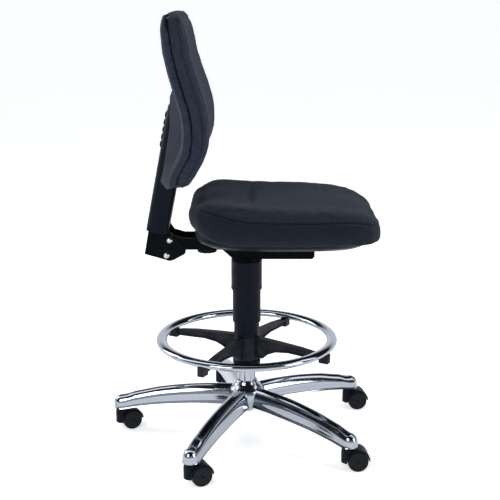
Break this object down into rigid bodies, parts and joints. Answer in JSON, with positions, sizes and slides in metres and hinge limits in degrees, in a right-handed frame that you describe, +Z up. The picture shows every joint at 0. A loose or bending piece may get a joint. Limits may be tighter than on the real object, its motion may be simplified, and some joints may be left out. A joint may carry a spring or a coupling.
{
  "type": "drafting chair",
  "caption": "Tall armless work chair: upholstered seat and backrest on a gas lift with a foot ring and a five-leg base on twin-wheel casters.",
  "frame": {"origin": "on the floor, on the axis of the gas column", "axes": "+Z up, +X the way the sitter faces, +Y the sitter's left"},
  "size_m": [0.6767, 0.6729, 1.066],
  "materials": {
    "aluminium_polished": "polished",
    "chrome": "polished",
    "steel": "satin",
    "black_steel": "satin",
    "cast_black": "matte",
    "black_plastic": "satin",
    "grey_plastic": "matte",
    "wheel_tread": "satin",
    "guide_plastic": "satin",
    "plywood": "matte",
    "cover_fabric": "matte"
  },
  "bodies": {
    "base": {"star_base": "aluminium_polished", "caster_stems": "steel", "caster_sockets": "black_plastic", "column_tube": "chrome", "column_bush": "guide_plastic"},
    "rod": {"piston_rod": "chrome", "column_clip": "steel", "thrust_bearing": "steel"},
    "seat": {"gas_cylinder": "black_steel", "cover_upper": "black_plastic", "mech_housing": "black_steel", "mech_lid": "steel", "mech_plate": "black_steel", "mech_screws": "steel", "back_pivot_pin": "steel", "tilt_spring": "steel", "seat_cushion": "cover_fabric", "seat_board": "plywood", "seat_shell": "black_plastic", "armrest_inserts": "steel"},
    "release": {"release_pin": "steel"},
    "lift_lever": {"lift_lever": "black_steel", "lift_lever_grip": "black_plastic"},
    "lock_lever": {"lock_lever": "black_steel", "lock_lever_grip": "black_plastic"},
    "cover": {"cover_middle": "black_plastic"},
    "ring_collet": {"foot_ring_collet": "black_plastic", "cover_lower": "black_plastic"},
    "foot_ring": {"foot_ring_hub": "cast_black", "foot_ring_tube": "chrome", "foot_ring_screws": "steel"},
    "ring_lock": {"foot_ring_lock": "black_plastic"},
    "back_arm": {"back_arm": "black_steel", "back_bracket": "black_steel", "post_bolts": "steel", "post_bar": "black_steel", "post_sleeve": "black_plastic", "post_rack": "black_plastic"},
    "tension": {"tension_knob": "black_plastic", "tension_screw": "steel"},
    "backrest": {"back_board": "black_plastic", "back_cushion": "cover_fabric", "back_rear_pad": "cover_fabric", "back_housing": "grey_plastic", "back_screws": "steel"},
    "caster_1": {"caster_housing_1": "black_plastic", "caster_axle_1": "steel"},
    "wheels_1": {"caster_wheels_1": "wheel_tread"},
    "caster_2": {"caster_housing_2": "black_plastic", "caster_axle_2": "steel"},
    "wheels_2": {"caster_wheels_2": "wheel_tread"},
    "caster_3": {"caster_housing_3": "black_plastic", "caster_axle_3": "steel"},
    "wheels_3": {"caster_wheels_3": "wheel_tread"},
    "caster_4": {"caster_housing_4": "black_plastic", "caster_axle_4": "steel"},
    "wheels_4": {"caster_wheels_4": "wheel_tread"},
    "caster_5": {"caster_housing_5": "black_plastic", "caster_axle_5": "steel"},
    "wheels_5": {"caster_wheels_5": "wheel_tread"}
  },
  "joints": [
    {"name": "seat_swivel", "type": "hinge", "parent": "base", "child": "rod", "pos_m": [0, 0, 0.09], "axis": [0, 0, 1], "continuous": true},
    {"name": "seat_lift", "type": "slide", "parent": "rod", "child": "seat", "axis": [0, 0, 1], "range_m": [-0.045, 0.105]},
    {"name": "lift_lever_press", "type": "hinge", "parent": "seat", "child": "lift_lever", "pos_m": [0, 0.0315, 0.498], "axis": [1, 0, 0], "range_deg": [0, 6], "stiffness_Nm_per_rad": 1.5},
    {"name": "release_press", "type": "slide", "parent": "seat", "child": "release", "axis": [0, 0, 1], "range_m": [-0.0034, 0]},
    {"name": "lock_lever_turn", "type": "hinge", "parent": "seat", "child": "lock_lever", "pos_m": [0.084, 0.0315, 0.498], "axis": [1, 0, 0], "range_deg": [0, 6]},
    {"name": "cover_slide", "type": "slide", "parent": "rod", "child": "cover", "axis": [0, 0, 1], "range_m": [-0.032, 0.074]},
    {"name": "foot_ring_slide", "type": "slide", "parent": "base", "child": "ring_collet", "axis": [0, 0, 1], "range_m": [-0.04, 0.005]},
    {"name": "foot_ring_turn", "type": "hinge", "parent": "ring_collet", "child": "foot_ring", "pos_m": [0, 0, 0.257], "axis": [0, 0, 1], "continuous": true},
    {"name": "ring_lock_turn", "type": "hinge", "parent": "ring_collet", "child": "ring_lock", "pos_m": [0, 0, 0.197], "axis": [0, 0, 1], "range_deg": [-60, 0]},
    {"name": "back_tilt", "type": "hinge", "parent": "seat", "child": "back_arm", "pos_m": [-0.03, 0, 0.504], "axis": [0, -1, 0], "range_deg": [0, 20], "stiffness_Nm_per_rad": 60, "springref_deg": -45.84},
    {"name": "tension_turn", "type": "hinge", "parent": "back_arm", "child": "tension", "pos_m": [-0.098, 0, 0.49], "axis": [0, 0, 1], "continuous": true},
    {"name": "back_height", "type": "slide", "parent": "back_arm", "child": "backrest", "axis": [0.1913, 0, 0.9815], "range_m": [-0.022, 0.06]},
    {"name": "caster_swivel_1", "type": "hinge", "parent": "base", "child": "caster_1", "pos_m": [0.27916, 0.16641, 0.05], "axis": [0, 0, 1], "continuous": true},
    {"name": "wheel_spin_1", "type": "hinge", "parent": "caster_1", "child": "wheels_1", "pos_m": [0.29897, 0.1692, 0.025], "axis": [-0.1392, 0.9903, 0], "continuous": true},
    {"name": "caster_swivel_2", "type": "hinge", "parent": "base", "child": "caster_2", "pos_m": [-0.072, 0.31692, 0.05], "axis": [0, 0, 1], "continuous": true},
    {"name": "wheel_spin_2", "type": "hinge", "parent": "caster_2", "child": "wheels_2", "pos_m": [-0.0526, 0.32176, 0.025], "axis": [-0.2419, 0.9703, 0], "continuous": true},
    {"name": "caster_swivel_3", "type": "hinge", "parent": "base", "child": "caster_3", "pos_m": [-0.32366, 0.02946, 0.05], "axis": [0, 0, 1], "continuous": true},
    {"name": "wheel_spin_3", "type": "hinge", "parent": "caster_3", "child": "wheels_3", "pos_m": [-0.30584, 0.03853, 0.025], "axis": [-0.454, 0.891, 0], "continuous": true},
    {"name": "caster_swivel_4", "type": "hinge", "parent": "base", "child": "caster_4", "pos_m": [-0.12803, -0.29872, 0.05], "axis": [0, 0, 1], "continuous": true},
    {"name": "wheel_spin_4", "type": "hinge", "parent": "caster_4", "child": "wheels_4", "pos_m": [-0.10991, -0.29027, 0.025], "axis": [-0.4226, 0.9063, 0], "continuous": true},
    {"name": "caster_swivel_5", "type": "hinge", "parent": "base", "child": "caster_5", "pos_m": [0.24454, -0.21407, 0.05], "axis": [0, 0, 1], "continuous": true},
    {"name": "wheel_spin_5", "type": "hinge", "parent": "caster_5", "child": "wheels_5", "pos_m": [0.26446, -0.21233, 0.025], "axis": [-0.0872, 0.9962, 0], "continuous": true}
  ],
  "couplings": [
    {"joint": "cover_slide", "follows": "seat_lift", "ratio": 0.7},
    {"joint": "release_press", "follows": "lift_lever_press", "m_per_rad": -0.0315}
  ]
}
